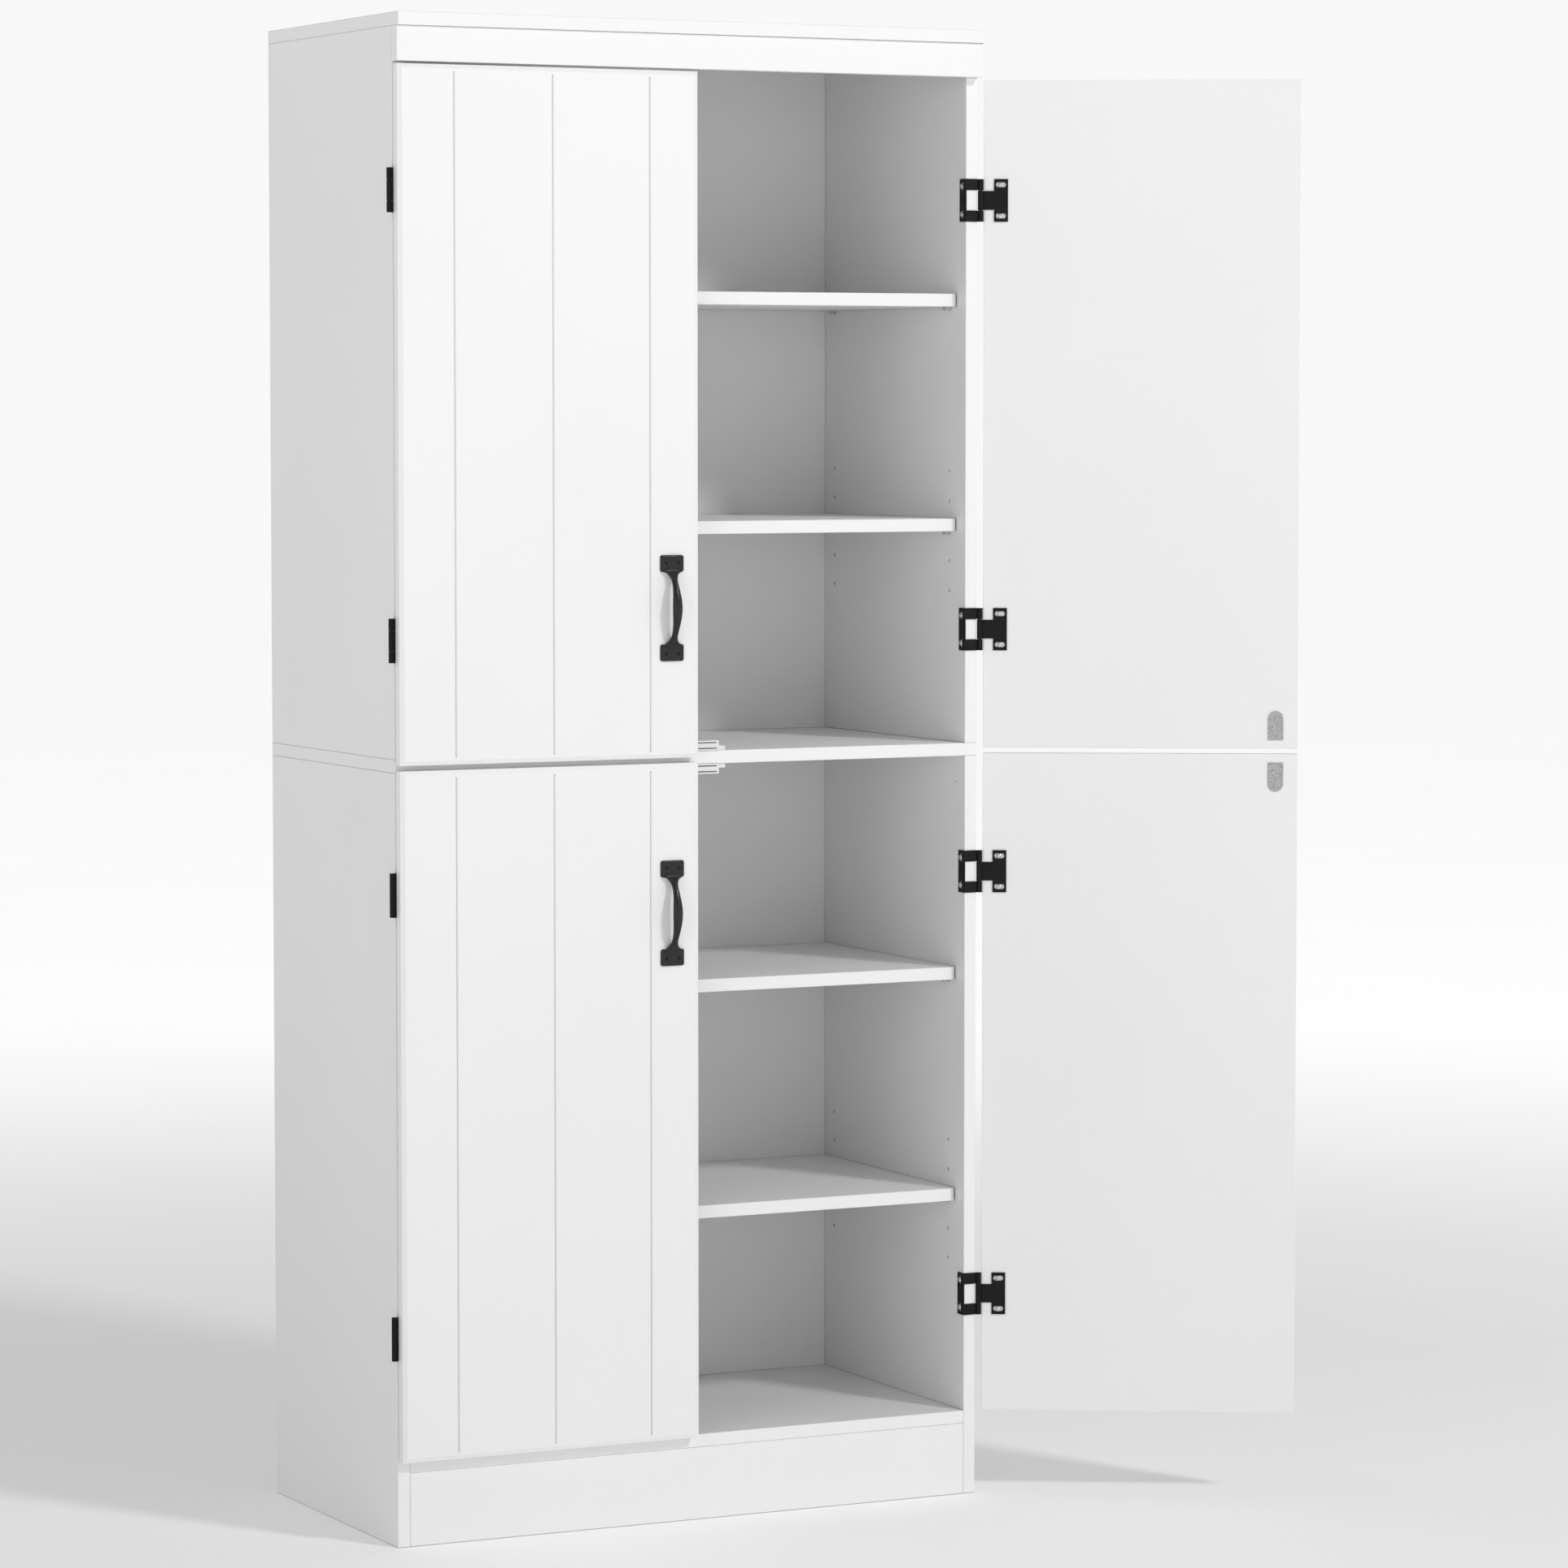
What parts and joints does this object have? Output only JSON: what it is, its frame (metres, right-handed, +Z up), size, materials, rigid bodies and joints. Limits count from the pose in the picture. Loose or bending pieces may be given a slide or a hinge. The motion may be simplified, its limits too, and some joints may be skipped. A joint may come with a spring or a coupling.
{
  "type": "pantry cabinet",
  "caption": "Tall free-standing pantry cupboard with hinged grooved doors, lift-off shelves, black surface hinges and bowed pulls.",
  "frame": {"origin": "middle of the carcass footprint on the floor, under the centre brace of the plinth", "axes": "+Z up, front faces -Y, +X to the right seen from the front"},
  "size_m": [1.154, 0.5972, 1.84],
  "materials": {
    "white_board": "satin white laminate",
    "door_board": "satin white lacquer",
    "back_board": "matte white hardboard",
    "black_cast": "satin black",
    "black_screw": "satin black",
    "black_steel": "matte black",
    "steel_screw": "zinc plated",
    "strike_steel": "grained grey",
    "catch_plastic": "matte white",
    "cap_plastic": "matte white",
    "pole_steel": "dark plated",
    "magnet": "dark ferrite",
    "cam_zinc": "cast zinc",
    "fitting_steel": "zinc plated",
    "beech": "raw beech"
  },
  "bodies": {
    "carcass": {"bottom_panel": "white_board", "cam_bolts": "fitting_steel", "cam_caps": "cap_plastic", "cam_locks": "cam_zinc", "catch_magnets": "magnet", "catch_poles": "pole_steel", "catch_screws": "steel_screw", "centre_brace": "white_board", "dowels": "beech", "fascia_board": "white_board", "frame_leaf_screws": "steel_screw", "hinge_pins": "black_steel", "kick_board": "white_board", "lower_back_panel": "back_board", "lower_catch_housing": "catch_plastic", "lower_left_frame_leaves": "black_steel", "lower_right_frame_leaves": "black_steel", "lower_side_left": "white_board", "lower_side_right": "white_board", "middle_panel": "white_board", "middle_panel_screws": "fitting_steel", "rear_rail": "white_board", "shelf_pins": "fitting_steel", "top_panel": "white_board", "upper_back_panel": "back_board", "upper_catch_housing": "catch_plastic", "upper_left_frame_leaves": "black_steel", "upper_right_frame_leaves": "black_steel", "upper_side_left": "white_board", "upper_side_right": "white_board"},
    "lower_left_door": {"lower_left_door": "door_board", "lower_left_door_leaves": "black_steel", "lower_left_leaf_screws": "steel_screw", "lower_left_pull": "black_cast", "lower_left_pull_screws": "black_screw", "lower_left_strike_plate": "strike_steel"},
    "lower_right_door": {"lower_right_door": "door_board", "lower_right_door_leaves": "black_steel", "lower_right_leaf_screws": "steel_screw", "lower_right_pull": "black_cast", "lower_right_pull_screws": "black_screw", "lower_right_strike_plate": "strike_steel"},
    "upper_left_door": {"upper_left_door": "door_board", "upper_left_door_leaves": "black_steel", "upper_left_leaf_screws": "steel_screw", "upper_left_pull": "black_cast", "upper_left_pull_screws": "black_screw", "upper_left_strike_plate": "strike_steel"},
    "upper_right_door": {"upper_right_door": "door_board", "upper_right_door_leaves": "black_steel", "upper_right_leaf_screws": "steel_screw", "upper_right_pull": "black_cast", "upper_right_pull_screws": "black_screw", "upper_right_strike_plate": "strike_steel"},
    "lower_low_shelf": {"lower_low_shelf": "white_board"},
    "lower_high_shelf": {"lower_high_shelf": "white_board"},
    "upper_low_shelf": {"upper_low_shelf": "white_board"},
    "upper_high_shelf": {"upper_high_shelf": "white_board"}
  },
  "joints": [
    {"name": "lower_left_door_hinge", "type": "hinge", "parent": "carcass", "child": "lower_left_door", "pos_m": [-0.399, -0.2005, 0.52205], "axis": [0, 0, -1], "range_deg": [0, 180]},
    {"name": "lower_right_door_hinge", "type": "hinge", "parent": "carcass", "child": "lower_right_door", "pos_m": [0.399, -0.2005, 0.52205], "axis": [0, 0, 1], "range_deg": [-150, 30]},
    {"name": "upper_left_door_hinge", "type": "hinge", "parent": "carcass", "child": "upper_left_door", "pos_m": [-0.399, -0.2005, 1.36225], "axis": [0, 0, -1], "range_deg": [0, 180]},
    {"name": "upper_right_door_hinge", "type": "hinge", "parent": "carcass", "child": "upper_right_door", "pos_m": [0.399, -0.2005, 1.36225], "axis": [0, 0, 1], "range_deg": [-150, 30]},
    {"name": "lower_low_shelf_lift", "type": "slide", "parent": "carcass", "child": "lower_low_shelf", "axis": [0, 0, 1], "range_m": [0, 0.05]},
    {"name": "lower_high_shelf_lift", "type": "slide", "parent": "carcass", "child": "lower_high_shelf", "axis": [0, 0, 1], "range_m": [0, 0.05]},
    {"name": "upper_low_shelf_lift", "type": "slide", "parent": "carcass", "child": "upper_low_shelf", "axis": [0, 0, 1], "range_m": [0, 0.05]},
    {"name": "upper_high_shelf_lift", "type": "slide", "parent": "carcass", "child": "upper_high_shelf", "axis": [0, 0, 1], "range_m": [0, 0.05]}
  ]
}
